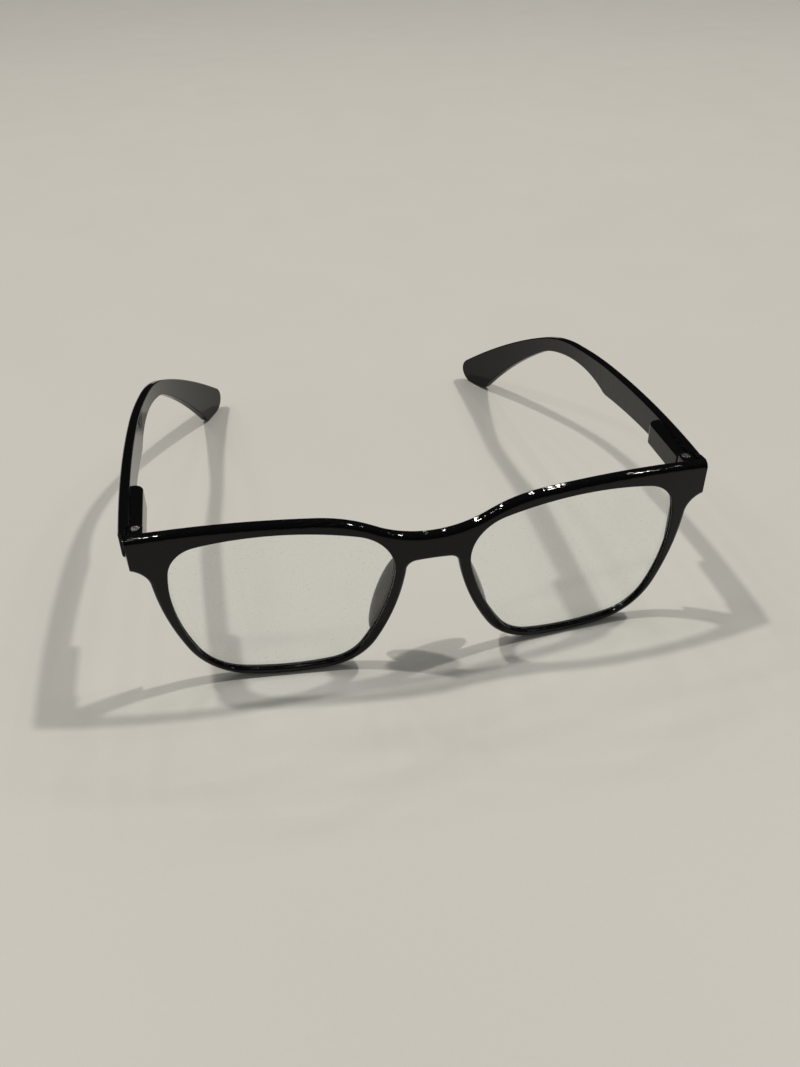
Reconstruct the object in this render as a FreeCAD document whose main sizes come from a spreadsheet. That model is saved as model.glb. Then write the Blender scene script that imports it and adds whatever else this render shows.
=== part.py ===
import FreeCAD, Part
import Sketcher
import math
import os

# Full-rim plastic spectacles with spring hinges, standing open on the lower rims and temple tips.
# Millimetres. +X is the wearer's left side, the front looks along -Y, +Z is up, z = 0 is the table.
# The origin is under the middle of the whole object's box.

doc = FreeCAD.newDocument("blue_light_glasses")

# ---------------------------------------------------------------- driving dimensions
SIZES = [
    # the frame front
    ("tilt", 3.4),            # lean of the front, degrees, top forward
    ("drop", 0.15),           # how far the tilted front sinks to stand on the table
    ("face_y", -75.49),       # foot of the front face at the middle
    ("wrap_r", 407.0),        # radius of the front face seen from above
    ("rim_depth", 3.0),       # front to back of the rims
    ("blank_low", -3.0),      # foot of the moulding blank before its outline is cut
    ("blank_tall", 60.0),     # height of that blank
    ("waste_low", -90.0), ("waste_high", 90.0),
    ("far", 220.0),           # half-size of the waste that an outline cut removes
    # one lens opening: four flat arcs, and a corner radius between each pair
    ("open_top_x", 37.7), ("open_top_z", -30.5), ("open_top_r", 75.4),
    ("open_nose_x", 66.5), ("open_nose_z", 39.7), ("open_nose_r", 58.0),
    ("open_low_x", 37.5), ("open_low_z", 87.9), ("open_low_r", 85.9),
    ("open_side_x", 21.4), ("open_side_z", 28.5), ("open_side_r", 41.4),
    ("corner_nose_top", 11.6), ("corner_nose_low", 11.5),
    ("corner_side_low", 13.2), ("corner_side_top", 9.8),
    # the outer outline of the front
    ("brow_x", 41.0), ("brow_z", -132.0), ("brow_r", 179.8),
    ("dip_z", 68.9), ("dip_r", 29.0), ("brow_blend", 33.0),
    ("end_x", -75.0), ("end_z", 41.0), ("end_r", 150.0), ("end_corner", 2.0),
    ("under_x", 60.0), ("under_z", 95.3), ("under_r", 60.0), ("notch_r", 5.0),
    ("rim_side_x", 4.8), ("rim_side_z", 36.7), ("rim_side_r", 62.0), ("rim_side_corner", 17.5),
    ("rim_low_x", 37.5), ("rim_low_z", 87.9), ("rim_low_r", 87.9),
    ("rim_nose_x", 66.5), ("rim_nose_z", 39.7), ("rim_nose_r", 60.8), ("rim_nose_corner", 16.0),
    ("arch_z", -27.3), ("arch_r", 60.0), ("arch_corner", 2.6),
    # end pieces, seen from above in the front's own tilted frame
    ("end_front_x", 70.6), ("end_back_x", 72.3), ("end_back_y", 14.2),
    ("end_step_x", 70.3), ("lug_x", 63.4), ("lug_y", 9.3),
    ("ramp_y", 7.8), ("ramp_z", 45.6), ("ramp_end_z", 43.3),
    # edge rounding
    ("round_front", 1.2), ("round_back", 0.7), ("round_open", 0.35), ("round_corner", 1.2),
    # moulded nose pads
    ("pad_x", 11.2), ("pad_y", 5.7), ("pad_z", 19.8),
    ("pad_half_wide", 1.3), ("pad_half_deep", 3.9), ("pad_half_tall", 12.0),
    ("pad_lean", 20.0), ("pad_splay", 18.0),
    # lenses
    ("lens_thick", 1.7), ("lens_set_back", 0.7), ("groove_deep", 0.7), ("lens_gap", 0.05),
    # hinge line: the screw axis is vertical
    ("hinge_x", 68.3), ("hinge_y", 10.9), ("butt_y", 10.1), ("butt_gap", 0.15),
    ("ear_r", 1.75), ("ear_gap", 0.05),
    ("ear_low_z", 36.7), ("eye_low_z", 38.8), ("eye_top_z", 42.0), ("ear_top_z", 44.1),
    ("screw_r", 0.55), ("head_r", 1.05), ("head_deep", 0.5), ("fit_gap", 0.02),
    ("slot_wide", 0.28), ("slot_deep", 0.25), ("bush_r", 0.85),
    # temple seen from above: a long arc, then a tighter one round the ear
    ("bow_x", -627.2), ("bow_y", 34.0), ("bow_r", 700.0), ("bend_y", 70.0), ("ear_bow_r", 205.0),
    ("temple_thick", 2.8), ("temple_end_y", 164.0),
    # temple outline seen from the side
    ("top_y", 5.0), ("top_z", -655.6), ("top_r", 700.0), ("bend_top_r", 60.0),
    ("drop_y", 26.7), ("drop_z", -148.0), ("drop_r", 200.0), ("tip_back_r", 4.6),
    ("sole_y", 147.0), ("sole_z", 32.0), ("sole_r", 32.0), ("tip_front_r", 5.0),
    ("hook_y", 43.2), ("hook_z", -79.6), ("hook_r", 127.0), ("bend_low_r", 30.0),
    ("waist_y", 84.0), ("waist_z", -30.6), ("waist_r", 65.0), ("keel_r", 8.0),
    ("low_y", 5.0), ("low_z", -443.4), ("low_r", 480.0), ("nose_end_r", 1.0),
    ("stem_y", -55.0), ("stem_z", 40.0), ("stem_r", 60.0),
    ("round_temple_out", 1.1), ("round_temple_in", 0.5),
    # spring hinge housing moulded on the inner face of the temple
    ("block_in_x", 66.8), ("block_out_x", 70.6), ("block_y", 12.7), ("block_end_y", 31.8),
    ("block_nose_r", 2.4), ("block_low_z", 37.2), ("block_top_z", 43.3), ("block_round", 0.5),
    ("recess_r", 1.95),
    # the metal box in that housing, and the cavity it fills
    ("box_x", 68.55), ("box_wide", 2.6), ("box_low_z", 38.35), ("box_tall", 4.1),
    ("box_y", 12.9), ("box_long", 15.6), ("box_wall", 0.3), ("box_gap", 0.03),
    # slider with its eye, guide screw, stop collar and coil spring
    ("eye_r", 1.7), ("eye_gap", 0.05), ("neck_wide", 1.9),
    ("slider_y", 13.4), ("slider_long", 4.6), ("slide_gap", 0.05),
    ("rod_r", 0.4), ("rod_in", 3.0), ("rod_end_y", 26.3), ("rod_head_r", 0.85), ("rod_head_long", 0.8),
    ("collar_y", 19.2), ("collar_long", 1.1), ("rod_gap", 0.06),
    ("wire_r", 0.16), ("coil_r", 0.66), ("coil_turns", 6.0), ("coil_gap", 0.05),
]

sheet = doc.addObject("Spreadsheet::Sheet", "Sizes")
for row, (alias, value) in enumerate(SIZES, start=1):
    sheet.set(f"A{row}", alias)
    sheet.set(f"B{row}", str(value))
    sheet.setAlias(f"B{row}", alias)
doc.recompute()
VALUES = dict(SIZES)


class Dim:
    """A length that knows both its number and the spreadsheet expression it comes from."""

    def __init__(self, value, text=None):
        self.value = float(value)
        self.text = text if text else f"({value})"

    def __add__(self, other):
        other = dim(other)
        return Dim(self.value + other.value, f"({self.text} + {other.text})")

    def __sub__(self, other):
        other = dim(other)
        return Dim(self.value - other.value, f"({self.text} - {other.text})")

    def __mul__(self, other):
        other = dim(other)
        return Dim(self.value * other.value, f"({self.text} * {other.text})")

    def __truediv__(self, other):
        other = dim(other)
        return Dim(self.value / other.value, f"({self.text} / {other.text})")


def dim(value):
    """Return value as a Dim: an alias becomes its sheet cell, a number stays a number."""
    if isinstance(value, Dim):
        return value
    if isinstance(value, str):
        return Dim(VALUES[value], f"Sizes.{value}")
    return Dim(value)


def root(value):
    """Square root of a Dim."""
    return Dim(math.sqrt(value.value), f"sqrt({value.text})")


def bind(target, path, value):
    """Drive one property of an object from the sheet."""
    target.setExpression(path, dim(value).text)


# ---------------------------------------------------------------- sketch helpers
def new_body(name):
    body = doc.addObject("PartDesign::Body", name)
    body.Label = name
    return body


def new_sketch(body, name, plane):
    """Sketch on one of the body's own origin planes, such as XY_Plane."""
    sketch = body.newObject("Sketcher::SketchObject", name)
    support = [item for item in body.Origin.OriginFeatures if item.Role == plane][0]
    sketch.AttachmentSupport = [(support, "")]
    sketch.MapMode = "FlatFace"
    return sketch


def lift(sketch, value):
    """Move a sketch along its own normal."""
    sketch.AttachmentOffset = FreeCAD.Placement(FreeCAD.Vector(0, 0, dim(value).value), FreeCAD.Rotation())
    bind(sketch, "AttachmentOffset.Base.z", value)


def limit(sketch, kind, *args):
    """Add a constraint whose last argument is a Dim, driven by its expression."""
    value = args[-1]
    index = sketch.addConstraint(Sketcher.Constraint(kind, *args[:-1], value.value))
    sketch.setExpression(f"Constraints[{index}]", value.text)


def pin_point(sketch, geometry, point, x, y):
    limit(sketch, "DistanceX", -1, 1, geometry, point, dim(x))
    limit(sketch, "DistanceY", -1, 1, geometry, point, dim(y))


def path(sketch, corners, radii=None, closed=True):
    """Outline through corners. radii maps a side's number to (radius, 1 left or -1 right centre)."""
    radii = radii or {}
    corners = [(dim(x), dim(y)) for x, y in corners]
    count = len(corners) if closed else len(corners) - 1
    ends = []
    for side in range(count):
        (x1, y1), (x2, y2) = corners[side], corners[(side + 1) % len(corners)]
        start = FreeCAD.Vector(x1.value, y1.value, 0)
        end = FreeCAD.Vector(x2.value, y2.value, 0)
        if side not in radii:
            index = sketch.addGeometry(Part.LineSegment(start, end), False)
            ends.append((index, 1, 2))
            continue
        radius, hand = dim(radii[side][0]), radii[side][1]
        chord = end - start
        rise = math.sqrt(radius.value ** 2 - chord.Length ** 2 / 4)
        normal = FreeCAD.Vector(-chord.y, chord.x, 0).normalize() * hand
        centre = (start + end) * 0.5 + normal * rise
        first, last = (start, end) if hand > 0 else (end, start)
        turn = [math.atan2(p.y - centre.y, p.x - centre.x) for p in (first, last)]
        circle = Part.Circle(centre, FreeCAD.Vector(0, 0, 1), radius.value)
        index = sketch.addGeometry(Part.ArcOfCircle(circle, turn[0], turn[1]), False)
        ends.append((index, 1, 2) if hand > 0 else (index, 2, 1))
        limit(sketch, "Radius", index, radius)
    for side in range(count):
        index, first, last = ends[side]
        pin_point(sketch, index, first, *corners[side])
        if closed or side + 1 < count:
            follower = ends[(side + 1) % count]
            sketch.addConstraint(Sketcher.Constraint("Coincident", index, last, follower[0], follower[1]))
    if not closed:
        pin_point(sketch, ends[-1][0], ends[-1][2], *corners[-1])


def rectangle(sketch, x1, y1, x2, y2):
    path(sketch, [(x1, y1), (x2, y1), (x2, y2), (x1, y2)])


class Bow:
    """One arc of a smooth outline. Its signed radius is negative where the outline is hollow."""

    def __init__(self, radius, x=None, y=None, hollow=False):
        self.radius = dim(radius)
        self.x = None if x is None else dim(x)
        self.y = None if y is None else dim(y)
        self.signed = -self.radius.value if hollow else self.radius.value
        self.centre = None if x is None else FreeCAD.Vector(self.x.value, self.y.value, 0)


def blend_centre(before, bow, after):
    """Centre of the arc that touches the arc before it and the arc after it."""
    d1 = before.signed - bow.signed
    d2 = after.signed - bow.signed
    step = after.centre - before.centre
    along = (d1 ** 2 - d2 ** 2 + step.Length ** 2) / (2 * step.Length)
    across = math.sqrt(max(d1 ** 2 - along ** 2, 0))
    if d1 * d2 * bow.signed < 0:
        across = -across
    unit = step.normalize()
    return before.centre + unit * along + FreeCAD.Vector(-unit.y, unit.x, 0) * across


def touch_point(one, two):
    """Where two touching arcs meet, measured from the larger one."""
    large, small = (one, two) if one.radius.value > two.radius.value else (two, one)
    return large.centre + (small.centre - large.centre).normalize() * large.radius.value


def smooth_outline(sketch, bows):
    """Closed outline of arcs, counter-clockwise, each touching the next without a corner."""
    count = len(bows)
    for i, bow in enumerate(bows):
        if bow.x is None:
            bow.centre = blend_centre(bows[i - 1], bow, bows[(i + 1) % count])
    ends = []
    for i, bow in enumerate(bows):
        start = touch_point(bows[i - 1], bow)
        end = touch_point(bow, bows[(i + 1) % count])
        hollow = bow.signed < 0
        first, last = (end, start) if hollow else (start, end)
        turn = [math.atan2(p.y - bow.centre.y, p.x - bow.centre.x) for p in (first, last)]
        ring = Part.Circle(bow.centre, FreeCAD.Vector(0, 0, 1), bow.radius.value)
        index = sketch.addGeometry(Part.ArcOfCircle(ring, turn[0], turn[1]), False)
        ends.append((index, 2, 1) if hollow else (index, 1, 2))
    for i, bow in enumerate(bows):
        index, _, last = ends[i]
        follower = ends[(i + 1) % count]
        sketch.addConstraint(Sketcher.Constraint("Tangent", index, last, follower[0], follower[1]))
        limit(sketch, "Radius", index, bow.radius)
        if bow.x is not None:
            pin_point(sketch, index, 3, bow.x, bow.y)


# ---------------------------------------------------------------- feature helpers
def pad(body, name, sketch, length, both=False):
    feature = body.newObject("PartDesign::Pad", name)
    feature.Profile = sketch
    feature.Length = dim(length).value
    bind(feature, "Length", length)
    feature.Midplane = both
    doc.recompute()
    return feature


def pocket_through(body, name, sketch):
    """Cut the sketch through everything, both ways."""
    feature = body.newObject("PartDesign::Pocket", name)
    feature.Profile = sketch
    feature.Midplane = True
    feature.Length = dim("far").value * 2
    bind(feature, "Length", dim("far") * 2)
    doc.recompute()
    return feature


def cut_to_outline(body, name, plane, bows):
    """Cut away everything outside a smooth outline drawn on one of the origin planes."""
    sketch = new_sketch(body, f"{name}_sketch", plane)
    reach = dim("far")
    rectangle(sketch, reach * -1, reach * -1, reach, reach)
    smooth_outline(sketch, bows)
    pocket_through(body, name, sketch)
    return sketch


def edges_along(shape, sketch, flatten, keep, reach=0.02):
    """Names of the edges that run along a sketch's outline once flatten drops them on its plane."""
    outline = sketch.Shape
    names = []
    for number, edge in enumerate(shape.Edges, start=1):
        first, last = edge.ParameterRange
        spots = [edge.valueAt(first + (last - first) * part) for part in (0.1, 0.5, 0.9)]
        if not all(keep(spot) for spot in spots):
            continue
        gaps = [outline.distToShape(Part.Vertex(flatten(spot)))[0] for spot in spots]
        if max(gaps) < reach:
            names.append(f"Edge{number}")
    return names


def round_edges(body, name, base, edges, radius):
    feature = body.newObject("PartDesign::Fillet", name)
    feature.Base = (base, edges)
    feature.Radius = dim(radius).value
    bind(feature, "Radius", radius)
    doc.recompute()
    return feature


def boolean(kind, name, *shapes):
    """Part boolean: kind is Cut, MultiFuse or MultiCommon."""
    feature = doc.addObject(f"Part::{kind}", name)
    if kind == "Cut":
        feature.Base, feature.Tool = shapes
    else:
        feature.Shapes = list(shapes)
    feature.Refine = True
    feature.Label = name
    doc.recompute()
    return feature


def cylinder(name, radius, height, x, y, z):
    feature = doc.addObject("Part::Cylinder", name)
    bind(feature, "Radius", radius)
    bind(feature, "Height", height)
    place(feature, x, y, z)
    return feature


def box(name, low, high):
    """Part box between two corners."""
    feature = doc.addObject("Part::Box", name)
    low, high = [dim(v) for v in low], [dim(v) for v in high]
    for axis, side in enumerate(("Length", "Width", "Height")):
        bind(feature, side, high[axis] - low[axis])
    place(feature, *low)
    return feature


def place(feature, x, y, z):
    values = [dim(v) for v in (x, y, z)]
    feature.Placement = FreeCAD.Placement(FreeCAD.Vector(*[v.value for v in values]), FreeCAD.Rotation())
    for axis, value in zip("xyz", values):
        bind(feature, f"Placement.Base.{axis}", value)


def mirrored(name, source):
    """The same part on the other side of the nose."""
    feature = doc.addObject("Part::Mirroring", name)
    feature.Source = source
    feature.Normal = FreeCAD.Vector(1, 0, 0)
    feature.Label = name
    return feature


# ---------------------------------------------------------------- outlines
def opening_bows(side, grow):
    """A lens opening, or with grow the lens that fills its groove."""
    def bow(name):
        return Bow(dim(f"open_{name}_r") + grow, dim(f"open_{name}_x") * side, f"open_{name}_z")

    def corner(name):
        return Bow(dim(f"corner_{name}") + grow)

    bows = [bow("top"), corner("nose_top"), bow("nose"), corner("nose_low"),
            bow("low"), corner("side_low"), bow("side"), corner("side_top")]
    if side > 0:
        return bows
    return [bows[0]] + bows[:0:-1]


def front_bows():
    """Outer outline of the whole front, counter-clockwise from the bridge dip."""
    def half(side):
        def bow(name, x, y, radius, hollow=False):
            return Bow(radius, dim(x) * side, y, hollow)

        return [
            Bow("brow_blend"),
            bow("brow", "brow_x", "brow_z", "brow_r"),
            Bow("end_corner"),
            bow("end", "end_x", "end_z", "end_r"),
            Bow("end_corner"),
            bow("under", "under_x", "under_z", "under_r"),
            Bow("notch_r", hollow=True),
            bow("side", "rim_side_x", "rim_side_z", "rim_side_r"),
            Bow("rim_side_corner"),
            bow("low", "rim_low_x", "rim_low_z", "rim_low_r"),
            Bow("rim_nose_corner"),
            bow("nose", "rim_nose_x", "rim_nose_z", "rim_nose_r"),
            Bow("arch_corner", hollow=True),
        ]

    dip = Bow("dip_r", 0, "dip_z", hollow=True)
    arch = Bow("arch_r", 0, "arch_z", hollow=True)
    return [dip] + half(-1) + [arch] + half(1)[::-1]


def temple_bows():
    """Side outline of a temple, counter-clockwise in the y-z plane, measured from the front's face."""
    def bow(name, hollow=False):
        return Bow(f"{name}_r", dim(f"{name}_y") + "face_y", f"{name}_z", hollow)

    return [
        bow("top"), Bow("nose_end_r"), bow("stem"), Bow("nose_end_r"),
        bow("low", hollow=True), Bow("keel_r"),
        bow("waist", hollow=True), Bow("bend_low_r", hollow=True),
        bow("hook", hollow=True), Bow("tip_front_r"),
        bow("sole"), Bow("tip_back_r"),
        bow("drop"), Bow("bend_top_r"),
    ]


# ---------------------------------------------------------------- the front
def drop_to_front(spot):
    """Put a point on the plane that the front's outlines are drawn on."""
    return FreeCAD.Vector(spot.x, 0, spot.z)


def on_wrap(radius):
    """Test for points on the front's wrapped surface of the given radius."""
    wrap, radius = dim("wrap_r").value, dim(radius).value

    def test(spot):
        return abs(spot.y - (wrap - math.sqrt(radius ** 2 - spot.x ** 2))) < 0.02

    return test


def tilt_front(feature):
    """Lean a part of the front with the front, and stand it on the table."""
    turn = FreeCAD.Rotation(FreeCAD.Vector(1, 0, 0), dim("tilt").value)
    base = FreeCAD.Vector(0, dim("face_y").value, -dim("drop").value)
    feature.Placement = FreeCAD.Placement(base, turn) * feature.Placement


def wrapped_plan(body, name, front_r, back_r, half_wide):
    """Plan of a plate between two radii round the front's wrap centre."""
    wrap, front, back = dim("wrap_r"), dim(front_r), dim(back_r)
    half = dim(half_wide)
    y_front = wrap - root(front * front - half * half)
    y_back = wrap - root(back * back - half * half)
    plan = new_sketch(body, name, "XY_Plane")
    corners = [(half * -1, y_front), (half, y_front), (half, y_back), (half * -1, y_back)]
    path(plan, corners, {0: (front, 1), 2: (back, -1)})
    lift(plan, "blank_low")
    return plan


def front_moulding():
    """Both rims, bridge and end pieces as one gently wrapped moulding."""
    body = new_body("front_moulding")
    wrap, back = dim("wrap_r"), dim("wrap_r") - "rim_depth"
    end_x, tail_x, tail_y = dim("end_front_x"), dim("end_back_x"), dim("end_back_y")
    step_x, lug_x, lug_y = dim("end_step_x"), dim("lug_x"), dim("lug_y")
    end_y = wrap - root(wrap * wrap - end_x * end_x)
    lug_back_y = wrap - root(back * back - lug_x * lug_x)
    right = [(end_x, end_y), (tail_x, tail_y), (step_x, tail_y),
             (step_x, lug_y), (lug_x, lug_y), (lug_x, lug_back_y)]
    left = [(x * -1, y) for x, y in right]
    plan = new_sketch(body, "front_plan", "XY_Plane")
    path(plan, [left[0]] + right + left[:0:-1], {0: (wrap, 1), 6: (back, -1)})
    lift(plan, "blank_low")
    pad(body, "front_blank", plan, "blank_tall")

    outline = cut_to_outline(body, "front_outline", "XZ_Plane", front_bows())
    ramp = new_sketch(body, "end_ramp_sketch", "YZ_Plane")
    top = dim("blank_tall")
    path(ramp, [("ramp_y", "ramp_z"), ("end_back_y", "ramp_end_z"), ("end_back_y", top), ("ramp_y", top)])
    shaped = pocket_through(body, "end_ramp", ramp)
    for name, radius, surface in (("front_edge", "round_front", wrap), ("back_edge", "round_back", back)):
        edges = edges_along(shaped.Shape, outline, drop_to_front, on_wrap(surface))
        shaped = round_edges(body, f"{name}_round", shaped, edges, radius)

    openings = new_sketch(body, "openings_sketch", "XZ_Plane")
    for side in (1, -1):
        smooth_outline(openings, opening_bows(side, 0))
    shaped = pocket_through(body, "openings", openings)
    for name, surface in (("open_front", wrap), ("open_back", back)):
        edges = edges_along(shaped.Shape, openings, drop_to_front, on_wrap(surface))
        shaped = round_edges(body, f"{name}_round", shaped, edges, "round_open")
    tilt_front(body)
    return body


def lens(name, side, gap):
    """A lens, or with a gap the groove that a lens sits in."""
    body = new_body(name)
    front = dim("wrap_r") - "lens_set_back" + gap
    back = dim("wrap_r") - "lens_set_back" - "lens_thick" - gap
    plan = wrapped_plan(body, f"{name}_plan", front, back, "end_front_x")
    pad(body, f"{name}_blank", plan, "blank_tall")
    cut_to_outline(body, f"{name}_outline", "XZ_Plane", opening_bows(side, dim("groove_deep") + gap))
    tilt_front(body)
    return body


def nose_pad(name, side):
    """A moulded nose pad: a smooth fin behind the nasal rim."""
    fin = doc.addObject("Part::Ellipsoid", name)
    fin.Angle1, fin.Angle2, fin.Angle3 = -90, 90, 360
    bind(fin, "Radius1", "pad_half_tall")
    bind(fin, "Radius2", "pad_half_wide")
    bind(fin, "Radius3", "pad_half_deep")
    lean = FreeCAD.Rotation(FreeCAD.Vector(0, 1, 0), -dim("pad_lean").value * side)
    splay = FreeCAD.Rotation(FreeCAD.Vector(0, 0, 1), -dim("pad_splay").value * side)
    spot = FreeCAD.Vector(dim("pad_x").value * side, dim("pad_y").value, dim("pad_z").value)
    fin.Placement = FreeCAD.Placement(spot, lean * splay)
    tilt_front(fin)
    return fin


def at_y(value):
    """A distance behind the front's face as a place in the object's frame."""
    return dim(value) + "face_y"


def ear(name, side, low_z, top_z):
    """One hinge ear of the front: a neck off the end piece with a round end about the screw."""
    body = new_body(name)
    x, y, r = dim("hinge_x") * side, at_y("hinge_y"), dim("ear_r")
    root_y = at_y("lug_y") - "rim_depth"
    corners = [(x - r, root_y), (x + r, root_y), (x + r, y), (x - r, y)]
    plan = new_sketch(body, f"{name}_plan", "XY_Plane")
    path(plan, corners, {2: (dim("ear_r") * 1.0001, 1)})
    lift(plan, low_z)
    pad(body, f"{name}_pad", plan, dim(top_z) - low_z)
    return body


def hinge_cylinder(name, side, radius, low_z, top_z):
    """A cylinder about one hinge's screw axis."""
    return cylinder(name, radius, dim(top_z) - low_z, dim("hinge_x") * side, at_y("hinge_y"), low_z)


def front_frame():
    """The whole injection moulded front, with lens grooves, nose pads, ears and screw holes."""
    pads = [nose_pad("nose_pad_left", 1), nose_pad("nose_pad_right", -1)]
    moulded = boolean("MultiFuse", "front_with_pads", front_moulding(), *pads)
    butt = box("butt_waste", ("waste_low", at_y("butt_y"), "blank_low"), ("waste_high", "far", "blank_tall"))
    trimmed = boolean("Cut", "front_trimmed", moulded, butt)
    ears, tools = [], []
    for hand, side in (("left", 1), ("right", -1)):
        ears.append(ear(f"ear_low_{hand}", side, "ear_low_z", "eye_low_z"))
        ears.append(ear(f"ear_top_{hand}", side, "eye_top_z", "ear_top_z"))
        tools.append(lens(f"groove_{hand}", side, "lens_gap"))
        hole_r, sink_r = dim("screw_r") + "fit_gap", dim("head_r") + "fit_gap"
        tools.append(hinge_cylinder(f"screw_hole_{hand}", side, hole_r, 0, "far"))
        sink_z = dim("ear_top_z") - "head_deep"
        tools.append(hinge_cylinder(f"head_sink_{hand}", side, sink_r, sink_z, "far"))
    eared = boolean("MultiFuse", "front_with_ears", trimmed, *ears)
    return boolean("Cut", "front_frame", eared, boolean("MultiFuse", "front_tools", *tools))


# ---------------------------------------------------------------- temple, built for the left side
def temple_moulding():
    """The temple arm: a band that bows round the head, cut to its side outline."""
    body = new_body("temple_moulding")
    bow_x, bow_y, bow_r = dim("bow_x"), at_y("bow_y"), dim("bow_r")
    front_y, bend_y, end_y = at_y("butt_y") + "butt_gap", at_y("bend_y"), at_y("temple_end_y")
    thick, ear_r = dim("temple_thick"), dim("ear_bow_r")

    def bow_point(radius, y):
        return bow_x + root(radius * radius - (y - bow_y) * (y - bow_y)), y

    bend_x = bow_point(bow_r, bend_y)[0]
    lean_x, lean_y = (bend_x - bow_x) / bow_r, (bend_y - bow_y) / bow_r
    ear_x, ear_y = bend_x - lean_x * ear_r, bend_y - lean_y * ear_r
    inner_bend = (bend_x - lean_x * thick, bend_y - lean_y * thick)

    def ear_point(radius):
        return ear_x + root(radius * radius - (end_y - ear_y) * (end_y - ear_y)), end_y

    inner_bow, inner_ear = bow_r - thick, ear_r - thick
    corners = [bow_point(bow_r, front_y), (bend_x, bend_y), ear_point(ear_r),
               ear_point(inner_ear), inner_bend, bow_point(inner_bow, front_y)]
    plan = new_sketch(body, "temple_plan", "XY_Plane")
    path(plan, corners, {0: (bow_r, 1), 1: (ear_r, 1), 3: (inner_ear, -1), 4: (inner_bow, -1)})
    lift(plan, "blank_low")
    pad(body, "temple_blank", plan, "blank_tall")
    outline = cut_to_outline(body, "temple_outline", "YZ_Plane", temple_bows())

    def drop(spot):
        return FreeCAD.Vector(0, spot.y, spot.z)

    def on_band(bow_radius, ear_radius):
        def test(spot):
            if spot.y < bend_y.value:
                return abs(math.hypot(spot.x - bow_x.value, spot.y - bow_y.value) - bow_radius.value) < 0.02
            return abs(math.hypot(spot.x - ear_x.value, spot.y - ear_y.value) - ear_radius.value) < 0.02

        return test

    shaped = body.Tip
    sides = (("out", bow_r, ear_r), ("in", inner_bow, inner_ear))
    for name, bow_radius, ear_radius in sides:
        edges = edges_along(shaped.Shape, outline, drop, on_band(bow_radius, ear_radius))
        shaped = round_edges(body, f"{name}_round", shaped, edges, f"round_temple_{name}")
    return body


def hinge_block():
    """Housing moulded on the temple's inner face, with a rounded rear end."""
    body = new_body("hinge_block")
    inner, outer, cut = dim("block_in_x"), dim("block_out_x"), dim("block_nose_r")
    front_y, end_y = at_y("block_y"), at_y("block_end_y")
    plan = new_sketch(body, "block_plan", "XY_Plane")
    corners = [(inner, front_y), (outer, front_y), (outer, end_y), (inner + cut, end_y), (inner, end_y - cut)]
    path(plan, corners, {3: (cut * 1.0001, 1)})
    lift(plan, "block_low_z")
    block = pad(body, "block_pad", plan, dim("block_top_z") - "block_low_z")
    soft = []
    for number, edge in enumerate(block.Shape.Edges, start=1):
        spots = [edge.valueAt(edge.FirstParameter), edge.valueAt(edge.LastParameter)]
        if all(spot.x < dim("block_out_x").value - 0.1 and spot.y > front_y.value - 0.1 for spot in spots):
            soft.append(f"Edge{number}")
    round_edges(body, "block_soft_edges", block, soft, "block_round")
    return body


def box_corners(grow):
    """Opposite corners of the hinge box, or with grow of the cavity it fills."""
    half = dim("box_wide") / 2 + grow
    low = (dim("box_x") - half, at_y("box_y"), dim("box_low_z") - grow)
    high = (dim("box_x") + half, at_y("box_y") + "box_long" + grow, dim("box_low_z") + "box_tall" + grow)
    return low, high


def temple():
    """Temple arm with its hinge housing, barrel recess and box cavity."""
    moulded = boolean("MultiFuse", "temple_fused", temple_moulding(), hinge_block())
    low, high = box_corners("box_gap")
    cavity = box("box_cavity", (low[0], at_y("hinge_y"), low[2]), high)
    recess = hinge_cylinder("barrel_recess", 1, "recess_r", "blank_low", "blank_tall")
    return boolean("Cut", "temple_left", moulded, boolean("MultiFuse", "temple_tools", recess, cavity))


# ---------------------------------------------------------------- hinge metalwork, left side
def hinge_mid_z():
    return (dim("eye_low_z") + "eye_top_z") / 2


def along_y(name, radius, length, y):
    """A cylinder along the slider's line, from y towards the temple tip."""
    rod = doc.addObject("Part::Cylinder", name)
    bind(rod, "Radius", radius)
    bind(rod, "Height", length)
    values = (dim("box_x"), dim(y), hinge_mid_z())
    spot = FreeCAD.Vector(*[v.value for v in values])
    rod.Placement = FreeCAD.Placement(spot, FreeCAD.Rotation(FreeCAD.Vector(1, 0, 0), -90))
    for axis, value in zip("xyz", values):
        bind(rod, f"Placement.Base.{axis}", value)
    return rod


def hinge_box():
    """Metal box that lines the housing: open at the front, closed at the back."""
    low, high = box_corners(0)
    wall = dim("box_wall")
    shell = box("box_shell", low, high)
    hollow = box("box_hollow", (low[0] + wall, low[1] - wall, low[2] + wall),
                 (high[0] - wall, high[1] - wall, high[2] - wall))
    return boolean("Cut", "hinge_box_left", shell, hollow)


def slider_corners(front_y, back_y, shrink=0):
    low, high = box_corners(0)
    inset = dim("box_wall") + "slide_gap" + shrink
    return (low[0] + inset, front_y, low[2] + inset), (high[0] - inset, back_y, high[2] - inset)


def hinge_slider():
    """Sliding block with the hinge eye at its front end."""
    back_y = at_y("slider_y") + "slider_long"
    block = box("slider_block", *slider_corners(at_y("slider_y"), back_y))
    half = dim("neck_wide") / 2
    eye_low, eye_top = dim("eye_low_z") + "eye_gap", dim("eye_top_z") - "eye_gap"
    neck = box("slider_neck", (dim("box_x") - half, at_y("hinge_y"), eye_low),
               (dim("box_x") + half, at_y("slider_y") + "eye_r", eye_top))
    eye = hinge_cylinder("slider_eye", 1, "eye_r", eye_low, eye_top)
    bore = hinge_cylinder("eye_bore", 1, dim("bush_r") + "fit_gap", 0, "far")
    tapped = along_y("slider_tap", dim("rod_r") + "fit_gap", "far", back_y - "rod_in")
    solid = boolean("MultiFuse", "slider_solid", block, neck, eye)
    return boolean("Cut", "hinge_slider_left", solid, boolean("MultiFuse", "slider_tools", bore, tapped))


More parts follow.
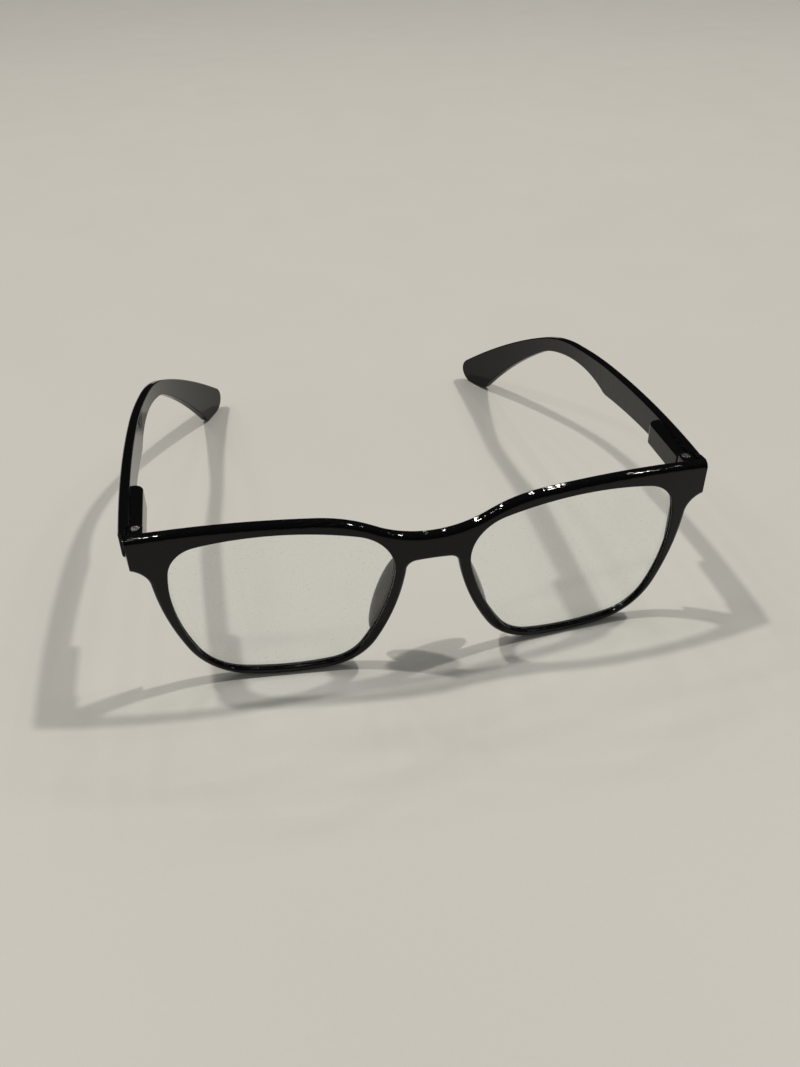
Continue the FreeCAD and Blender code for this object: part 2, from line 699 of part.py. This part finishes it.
def guide_screw():
    """Headed screw that carries the spring behind the slider."""
    start = at_y("slider_y") + "slider_long" - "rod_in"
    end = at_y("rod_end_y")
    shank = along_y("guide_shank", "rod_r", end - start, start)
    head = along_y("guide_head", "rod_head_r", "rod_head_long", end)
    return boolean("MultiFuse", "guide_screw_left", shank, head)


def stop_collar():
    """Fixed plate in the box that the spring pushes against."""
    low, high = slider_corners(at_y("collar_y"), at_y("collar_y") + "collar_long", dim("fit_gap") - "slide_gap")
    plate = box("collar_plate", low, high)
    hole = along_y("collar_hole", dim("rod_r") + "rod_gap", "far", at_y("hinge_y"))
    return boolean("Cut", "stop_collar_left", plate, hole)


def spring():
    """Coil spring between the stop collar and the guide screw's head."""
    start = at_y("collar_y") + "collar_long" + "wire_r" + "coil_gap"
    end = at_y("rod_end_y") - "wire_r" - "coil_gap"
    helix = doc.addObject("Part::Helix", "coil_path")
    bind(helix, "Radius", "coil_r")
    bind(helix, "Height", end - start)
    bind(helix, "Pitch", (end - start) / "coil_turns")
    section = doc.addObject("Part::Circle", "coil_section")
    bind(section, "Radius", "wire_r")
    section.Placement = FreeCAD.Placement(FreeCAD.Vector(dim("coil_r").value, 0, 0),
                                          FreeCAD.Rotation(FreeCAD.Vector(1, 0, 0), 90))
    bind(section, "Placement.Base.x", "coil_r")
    doc.recompute()
    coil = doc.addObject("Part::Sweep", "spring_left")
    coil.Sections = [section]
    coil.Spine = (helix, ["Edge1"])
    coil.Solid = True
    coil.Frenet = True
    spot = FreeCAD.Vector(dim("box_x").value, start.value, hinge_mid_z().value)
    coil.Placement = FreeCAD.Placement(spot, FreeCAD.Rotation(FreeCAD.Vector(1, 0, 0), -90))
    for axis, value in zip("xyz", (dim("box_x"), start, hinge_mid_z())):
        bind(coil, f"Placement.Base.{axis}", value)
    return coil


def hinge_screw():
    """Slotted hinge screw, sunk in the top ear."""
    x, y = dim("hinge_x"), at_y("hinge_y")
    head_z = dim("ear_top_z") - "head_deep"
    shank = hinge_cylinder("screw_shank", 1, "screw_r", "ear_low_z", head_z)
    head = hinge_cylinder("screw_head", 1, "head_r", head_z, dim("ear_top_z") + "fit_gap")
    half = dim("slot_wide") / 2
    slot = box("screw_slot", (x - "head_r", y - half, dim("ear_top_z") - "slot_deep"),
               (x + "head_r", y + half, dim("ear_top_z") + 1))
    return boolean("Cut", "hinge_screw_left", boolean("MultiFuse", "screw_solid", shank, head), slot)


def hinge_bush():
    """Nylon sleeve on the screw that the eye turns on."""
    low, top = dim("eye_low_z") + "ear_gap", dim("eye_top_z") - "ear_gap"
    sleeve = hinge_cylinder("bush_sleeve", 1, "bush_r", low, top)
    bore = hinge_cylinder("bush_bore", 1, dim("screw_r") + "fit_gap", low - 1, top + 1)
    return boolean("Cut", "hinge_bush_left", sleeve, bore)


# ---------------------------------------------------------------- assembly
nodes = [front_frame(), lens("lens_left", 1, 0), lens("lens_right", -1, 0)]
left_side = [temple(), hinge_box(), hinge_slider(), guide_screw(), stop_collar(), spring(), hinge_screw(), hinge_bush()]
nodes += left_side
nodes += [mirrored(part.Name.replace("_left", "_right"), part) for part in left_side]
doc.recompute()

for item in doc.Objects:
    assert "Invalid" not in item.State and "Error" not in item.State, item.Name
os.makedirs("parts", exist_ok=True)
for node in nodes:
    shape = node.Shape
    assert not shape.isNull() and shape.isValid() and len(shape.Solids) == 1, node.Label
    shape.exportStep(f"parts/{node.Label}.step")
    print(node.Label, round(shape.Volume, 2))
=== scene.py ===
import math

import bpy
from mathutils import Matrix, Vector


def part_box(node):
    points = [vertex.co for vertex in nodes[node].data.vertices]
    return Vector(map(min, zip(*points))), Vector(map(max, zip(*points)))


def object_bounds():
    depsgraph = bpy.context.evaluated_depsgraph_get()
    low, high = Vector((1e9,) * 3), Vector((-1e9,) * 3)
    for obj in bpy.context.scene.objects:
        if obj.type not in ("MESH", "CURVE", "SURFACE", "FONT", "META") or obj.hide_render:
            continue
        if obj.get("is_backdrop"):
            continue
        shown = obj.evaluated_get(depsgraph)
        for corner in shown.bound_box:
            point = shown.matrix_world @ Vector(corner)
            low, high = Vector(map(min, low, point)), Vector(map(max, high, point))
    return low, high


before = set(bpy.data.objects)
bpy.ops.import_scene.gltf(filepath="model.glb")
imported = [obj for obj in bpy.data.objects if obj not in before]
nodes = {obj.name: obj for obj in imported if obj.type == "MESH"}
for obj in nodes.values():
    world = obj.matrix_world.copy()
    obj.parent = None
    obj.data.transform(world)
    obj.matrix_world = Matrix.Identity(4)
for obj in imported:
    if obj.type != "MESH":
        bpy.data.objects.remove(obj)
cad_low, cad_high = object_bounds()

scene = bpy.context.scene
MM = 0.001


# ---------------------------------------------------------------- node helpers
class Shader:
    """A material's node tree with short calls for the nodes used here."""

    def __init__(self, name):
        self.material = bpy.data.materials.new(name)
        self.material.use_nodes = True
        self.tree = self.material.node_tree
        self.tree.nodes.clear()
        self.output = self.tree.nodes.new("ShaderNodeOutputMaterial")
        self.place = self.tree.nodes.new("ShaderNodeTexCoord").outputs["Object"]

    def node(self, kind, inputs=None, **settings):
        made = self.tree.nodes.new(f"ShaderNode{kind}")
        for key, value in settings.items():
            setattr(made, key, value)
        for key, value in (inputs or {}).items():
            self.feed(made.inputs[key], value)
        return made

    def feed(self, socket, value):
        if isinstance(value, bpy.types.NodeSocket):
            self.tree.links.new(value, socket)
        else:
            socket.default_value = value

    def math(self, operation, *values, clamp=False):
        return self.node("Math", dict(enumerate(values)), operation=operation, use_clamp=clamp).outputs[0]

    def noise(self, scale, detail=2.0, rough=0.5, distortion=0.0, vector=None):
        inputs = {"Vector": vector or self.place, "Scale": scale, "Detail": detail,
                  "Roughness": rough, "Distortion": distortion}
        return self.node("TexNoise", inputs).outputs["Fac"]

    def stretch(self, x, y, z):
        """Object coordinates scaled along each axis, to draw noise out into streaks."""
        return self.node("Mapping", {"Vector": self.place, "Scale": (x, y, z)}).outputs["Vector"]

    def band(self, value, low, high, bottom=0.0, top=1.0):
        """Map value from low..high to bottom..top, held at the ends."""
        inputs = {"Value": value, "From Min": low, "From Max": high, "To Min": bottom, "To Max": top}
        return self.node("MapRange", inputs, interpolation_type="SMOOTHSTEP").outputs["Result"]

    def tint_by(self, factor, first, second):
        """Blend two colours, each a socket or an RGBA value."""
        mix = self.node("Mix", data_type="RGBA")
        self.feed(mix.inputs["Factor"], factor)
        self.feed(mix.inputs["A"], first)
        self.feed(mix.inputs["B"], second)
        return mix.outputs["Result"]

    def tint(self, factor, dark, light):
        return self.tint_by(factor, (*dark, 1), (*light, 1))

    def bump(self, height, distance, strength=1.0, normal=None):
        inputs = {"Height": height, "Distance": distance, "Strength": strength}
        if normal:
            inputs["Normal"] = normal
        return self.node("Bump", inputs).outputs["Normal"]

    def edges(self, radius):
        """1 near sharp or tightly rounded edges, 0 on open faces."""
        soft = self.node("Bevel", {"Radius": radius}, samples=4).outputs["Normal"]
        flat = self.node("NewGeometry").outputs["Normal"]
        match = self.node("VectorMath", {0: soft, 1: flat}, operation="DOT_PRODUCT").outputs["Value"]
        return self.band(match, 0.995, 0.9)

    def surface(self, shader):
        self.tree.links.new(shader, self.output.inputs["Surface"])
        return self.material


# ---------------------------------------------------------------- materials
def moulded_black(name, streak):
    """Glossy injection moulded black: slow sink marks, fine peel, hairline scratches, worn edges."""
    s = Shader(name)
    waves = s.noise(420, 2.0)
    peel = s.noise(2600, 2.0)
    hairline = s.noise(1.0, 3.0, 0.6, vector=s.stretch(*streak))
    scratch = s.band(hairline, 0.66, 0.72)
    speck = s.band(s.noise(5200, 0.0), 0.74, 0.8)
    haze = s.band(s.noise(70, 4.0, 0.62, 0.6), 0.46, 0.66)
    worn = s.math("MULTIPLY", s.edges(0.5 * MM), s.band(s.noise(420, 3.0, 0.6), 0.42, 0.62))
    marks = s.math("MAXIMUM", scratch, speck)
    rough = s.math("MULTIPLY_ADD", haze, 0.035, 0.03)
    rough = s.math("MULTIPLY_ADD", marks, 0.16, rough)
    rough = s.math("MULTIPLY_ADD", worn, 0.12, rough, clamp=True)
    pale = s.math("MAXIMUM", worn, s.math("MULTIPLY", marks, 0.5))
    colour = s.tint(pale, (0.0035, 0.0035, 0.004), (0.02, 0.02, 0.021))
    normal = s.bump(waves, 0.035 * MM, 0.9)
    normal = s.bump(peel, 0.0016 * MM, 0.5, normal)
    normal = s.bump(scratch, 0.002 * MM, 0.35, normal)
    plastic = s.node("BsdfPrincipled", {
        "Base Color": colour, "Roughness": rough, "IOR": 1.49, "Normal": normal, "Specular IOR Level": 0.22})
    return s.surface(plastic.outputs["BSDF"])


def clear_lens(name):
    """Coated polycarbonate: clear, with faint smears and dust, and see-through to shadow and diffuse rays."""
    s = Shader(name)
    smear = s.band(s.noise(1.0, 4.0, 0.6, 0.8, vector=s.stretch(90, 60, 35)), 0.5, 0.72)
    speck = s.band(s.noise(3800, 0.0), 0.77, 0.82)
    film = s.math("MAXIMUM", s.math("MULTIPLY", smear, 0.012), s.math("MULTIPLY", speck, 0.3))
    ripple = s.bump(s.noise(40, 1.0), 0.004 * MM, 0.2)
    glass = s.node("BsdfPrincipled", {
        "Base Color": (0.97, 0.995, 0.985, 1), "Roughness": 0.0, "IOR": 1.586, "Normal": ripple,
        "Transmission Weight": 1.0})
    dust = s.node("BsdfDiffuse", {"Color": (0.7, 0.7, 0.68, 1)})
    coated = s.node("MixShader", {"Fac": film, 1: glass.outputs["BSDF"], 2: dust.outputs["BSDF"]})
    passing = s.node("BsdfTransparent", {"Color": (0.955, 0.97, 0.965, 1)})
    path = s.node("LightPath").outputs
    unseen = s.math("MAXIMUM", path["Is Shadow Ray"], path["Is Diffuse Ray"])
    mix = s.node("MixShader", {"Fac": unseen, 1: coated.outputs["Shader"], 2: passing.outputs["BSDF"]})
    return s.surface(mix.outputs["Shader"])


def rolled_steel(name):
    """Bright rolled steel: fine grain along the arm, dull rubbed spots, brighter edges."""
    s = Shader(name)
    grain = s.noise(1.0, 3.0, 0.55, vector=s.stretch(9000, 260, 9000))
    stain = s.band(s.noise(900, 3.0), 0.4, 0.65)
    edge = s.edges(0.12 * MM)
    rough = s.math("MULTIPLY_ADD", grain, 0.16, 0.2)
    rough = s.math("MULTIPLY_ADD", stain, 0.1, rough)
    rough = s.math("MULTIPLY_ADD", edge, -0.12, rough, clamp=True)
    colour = s.tint(s.math("MULTIPLY", stain, 0.7), (0.62, 0.61, 0.6), (0.42, 0.41, 0.4))
    normal = s.bump(grain, 0.002 * MM, 0.5)
    steel = s.node("BsdfPrincipled", {
        "Base Color": colour, "Metallic": 1.0, "Roughness": rough, "Normal": normal,
        "Anisotropic": 0.4})
    return s.surface(steel.outputs["BSDF"])


def drawn_wire(name):
    """Spring wire with die lines and a thin film of oil."""
    s = Shader(name)
    lines = s.noise(1.0, 2.0, vector=s.stretch(7000, 500, 7000))
    oil = s.band(s.noise(1300, 2.0), 0.4, 0.6)
    rough = s.math("MULTIPLY_ADD", lines, 0.2, 0.14)
    colour = s.tint(oil, (0.36, 0.35, 0.35), (0.5, 0.47, 0.42))
    wire = s.node("BsdfPrincipled", {
        "Base Color": colour, "Metallic": 1.0, "Roughness": rough,
        "Normal": s.bump(lines, 0.002 * MM, 0.4), "Coat Weight": 0.4, "Coat Roughness": 0.12})
    return s.surface(wire.outputs["BSDF"])


def turned_silver(name, axis_x, axis_y):
    """Turned screw head: rings round the screw axis and driver scuffs."""
    s = Shader(name)
    centred = s.node("Mapping", {"Vector": s.place, "Location": (-axis_x, -axis_y, 0)}).outputs["Vector"]
    rings = s.node("TexWave", {"Vector": centred, "Scale": 4200.0, "Distortion": 1.2, "Detail": 2.0},
                   wave_type="RINGS", rings_direction="Z").outputs["Fac"]
    scuff = s.band(s.noise(3600, 3.0, 0.6), 0.5, 0.66)
    rough = s.math("MULTIPLY_ADD", rings, 0.1, 0.14)
    rough = s.math("MULTIPLY_ADD", scuff, 0.16, rough)
    colour = s.tint(s.math("MULTIPLY", scuff, 0.6), (0.8, 0.79, 0.77), (0.5, 0.49, 0.47))
    normal = s.bump(rings, 0.003 * MM, 0.5)
    silver = s.node("BsdfPrincipled", {
        "Base Color": colour, "Metallic": 1.0, "Roughness": rough, "Normal": normal})
    return s.surface(silver.outputs["BSDF"])


def natural_nylon(name):
    """Unfilled nylon: milky, waxy, with fine turning marks."""
    s = Shader(name)
    cloud = s.noise(800, 3.0)
    marks = s.noise(1.0, 2.0, vector=s.stretch(300, 300, 9000))
    rough = s.math("MULTIPLY_ADD", marks, 0.2, 0.32)
    colour = s.tint(cloud, (0.66, 0.63, 0.55), (0.78, 0.76, 0.7))
    wax = s.node("BsdfPrincipled", {
        "Base Color": colour, "Roughness": rough, "Normal": s.bump(marks, 0.003 * MM, 0.4),
        "Subsurface Weight": 0.4, "Subsurface Radius": (0.001, 0.0008, 0.0006), "Subsurface Scale": 0.5})
    return s.surface(wax.outputs["BSDF"])


def table_top(name):
    """Pale laminate, nearly plain, that fades to dark with distance in mirror rays only: a painted dark
    reflection of the table.
    """
    s = Shader(name)
    cloud = s.noise(7, 4.0, 0.6)
    grit = s.noise(900, 2.0)
    rough = s.math("MULTIPLY_ADD", s.noise(30, 3.0), 0.12, 0.42)
    near = s.tint(s.math("MULTIPLY_ADD", grit, 0.35, s.math("MULTIPLY", cloud, 0.5)),
                  (0.62, 0.6, 0.555), (0.68, 0.66, 0.61))
    distance = s.node("VectorMath", {0: s.place}, operation="LENGTH").outputs["Value"]
    mirrored = s.node("LightPath").outputs["Is Glossy Ray"]
    # painted reflection: seen in glossy rays, the table turns near black with distance, so shiny parts mirror
    # it dark
    painted_reflection_dark = s.math("MULTIPLY", mirrored, s.band(distance, 0.25, 0.5))
    colour = s.tint_by(painted_reflection_dark, near, (0.03, 0.03, 0.03, 1))
    laminate = s.node("BsdfPrincipled", {
        "Base Color": colour, "Roughness": rough, "Normal": s.bump(grit, 0.02 * MM, 0.15),
        "Specular IOR Level": 0.3})
    return s.surface(laminate.outputs["BSDF"])


# ---------------------------------------------------------------- finishes on the CAD nodes
def finish_node(name, material):
    """Give a CAD node its finish in every material slot."""
    obj = nodes[name]
    for entry in obj.material_slots:
        entry.material = material


front_plastic = moulded_black("front_plastic", (30, 400, 2600))
arm_plastic = moulded_black("arm_plastic", (2600, 22, 900))
lens_glass = clear_lens("lens_glass")
steel = rolled_steel("rolled_steel")
wire = drawn_wire("drawn_wire")
nylon = natural_nylon("natural_nylon")

finish_node("front_frame", front_plastic)
for hand in ("left", "right"):
    finish_node(f"temple_{hand}", arm_plastic)
    finish_node(f"lens_{hand}", lens_glass)
    for part in ("hinge_box", "hinge_slider", "guide_screw", "stop_collar"):
        finish_node(f"{part}_{hand}", steel)
    finish_node(f"spring_{hand}", wire)
    finish_node(f"hinge_bush_{hand}", nylon)
    low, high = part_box(f"hinge_screw_{hand}")
    middle = (low + high) / 2
    finish_node(f"hinge_screw_{hand}", turned_silver(f"turned_silver_{hand}", middle.x, middle.y))


# ---------------------------------------------------------------- floor, light, camera
def floor(reach):
    mesh = bpy.data.meshes.new("table")
    corners = [(-reach, -reach, 0), (reach, -reach, 0), (reach, reach, 0), (-reach, reach, 0)]
    mesh.from_pydata(corners, [], [(0, 1, 2, 3)])
    obj = bpy.data.objects.new("table", mesh)
    scene.collection.objects.link(obj)
    obj.data.materials.append(table_top("table_top"))
    obj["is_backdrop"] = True


def panel(name, spot, target, wide, tall, power, colour=(1.0, 0.97, 0.92)):
    """Soft rectangular light aimed at a point."""
    light = bpy.data.lights.new(name, "AREA")
    light.shape = "RECTANGLE"
    light.size, light.size_y = wide, tall
    light.energy = power
    light.color = colour
    obj = bpy.data.objects.new(name, light)
    scene.collection.objects.link(obj)
    obj.location = spot
    obj.rotation_mode = "QUATERNION"
    obj.rotation_quaternion = (Vector(target) - Vector(spot)).to_track_quat("-Z", "Y")


def sun(name, toward, power, spread, colour=(1.0, 0.97, 0.92)):
    """Even light from one direction; spread is the lamp's width in degrees as seen from the table."""
    light = bpy.data.lights.new(name, "SUN")
    light.energy = power
    light.angle = math.radians(spread)
    light.color = colour
    obj = bpy.data.objects.new(name, light)
    scene.collection.objects.link(obj)
    obj.rotation_mode = "QUATERNION"
    obj.rotation_quaternion = Vector(toward).to_track_quat("Z", "Y")


def backdrop():
    """Pale fill all round, dim in reflections so black stays black, table-coloured where it is seen."""
    world = bpy.data.worlds.new("studio")
    scene.world = world
    world.use_nodes = True
    tree = world.node_tree
    tree.nodes.clear()
    output = tree.nodes.new("ShaderNodeOutputWorld")
    path = tree.nodes.new("ShaderNodeLightPath")

    def glow(colour, strength):
        shader = tree.nodes.new("ShaderNodeBackground")
        shader.inputs["Color"].default_value = (*colour, 1)
        shader.inputs["Strength"].default_value = strength
        return shader.outputs["Background"]

    def choose(ray, otherwise, shader):
        mix = tree.nodes.new("ShaderNodeMixShader")
        tree.links.new(path.outputs[ray], mix.inputs["Fac"])
        tree.links.new(otherwise, mix.inputs[1])
        tree.links.new(shader, mix.inputs[2])
        return mix.outputs["Shader"]

    fill = glow((0.98, 1.0, 1.0), 0.19)
    dim = choose("Is Glossy Ray", fill, glow((0.6, 0.6, 0.62), 0.012))
    seen = choose("Is Camera Ray", dim, glow((0.5, 0.48, 0.44), 1.0))
    tree.links.new(seen, output.inputs["Surface"])


def camera(target, azimuth, elevation, roll, distance, lens):
    """Camera that looks at target from azimuth and elevation, all in degrees and metres."""
    az, el, turn = (math.radians(v) for v in (azimuth, elevation, roll))
    back = Vector((math.sin(az) * math.cos(el), -math.cos(az) * math.cos(el), math.sin(el)))
    level = Vector((0, 0, 1)).cross(back).normalized()
    upright = back.cross(level)
    right = level * math.cos(turn) + upright * math.sin(turn)
    up = upright * math.cos(turn) - level * math.sin(turn)
    data = bpy.data.cameras.new("camera")
    data.sensor_width = 36
    data.lens = lens
    data.clip_start = 0.01
    obj = bpy.data.objects.new("camera", data)
    scene.collection.objects.link(obj)
    pose = Matrix((right, up, back)).transposed().to_4x4()
    pose.translation = Vector(target) + back * distance
    obj.matrix_world = pose
    scene.camera = obj


FLOOR_REACH = 4.0
KEY_WIDTH = 2.8          # degrees
KEY_RIGHT = (30, 8, 47)  # direction towards each key light
KEY_LEFT = (-20, 12, 47)
LAMPS = 14
LAMP_HEIGHT = 0.9
LAMP_SPREAD = 200        # degrees of the arc the lamps stand on
LAMP_REACH = 0.56
LAMP_STEP = 0.14         # three rows of lamps, this far apart
ARC_CENTRE_Y = 0.1
LAMP_WIDE = 0.045
LAMP_TALL = 0.02
LAMP_POWER = 0.24
VIEW_SIDE = -3.14 * MM
VIEW_DEPTH = 27.5 * MM   # behind the front's foremost point
VIEW_HEIGHT = 22.0 * MM

front_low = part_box("front_frame")[0]
centre = (cad_low + cad_high) / 2
floor(FLOOR_REACH)
backdrop()
sun("key_right", KEY_RIGHT, 1.0, KEY_WIDTH)
sun("key_left", KEY_LEFT, 0.95, KEY_WIDTH)
for number in range(LAMPS):
    turn = math.radians(LAMP_SPREAD * number / (LAMPS - 1) - LAMP_SPREAD / 2)
    reach = LAMP_REACH + LAMP_STEP * (number % 3)
    spot = (reach * math.sin(turn), ARC_CENTRE_Y + reach * math.cos(turn), LAMP_HEIGHT)
    panel(f"lamp_{number}", spot, centre, LAMP_WIDE, LAMP_TALL, LAMP_POWER)
view_point = (VIEW_SIDE, front_low.y + VIEW_DEPTH, VIEW_HEIGHT)
camera(view_point, azimuth=-10.17, elevation=35.27, roll=-1.93, distance=264.9 * MM, lens=33.53)
scene.view_settings.view_transform = "Standard"

low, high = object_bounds()
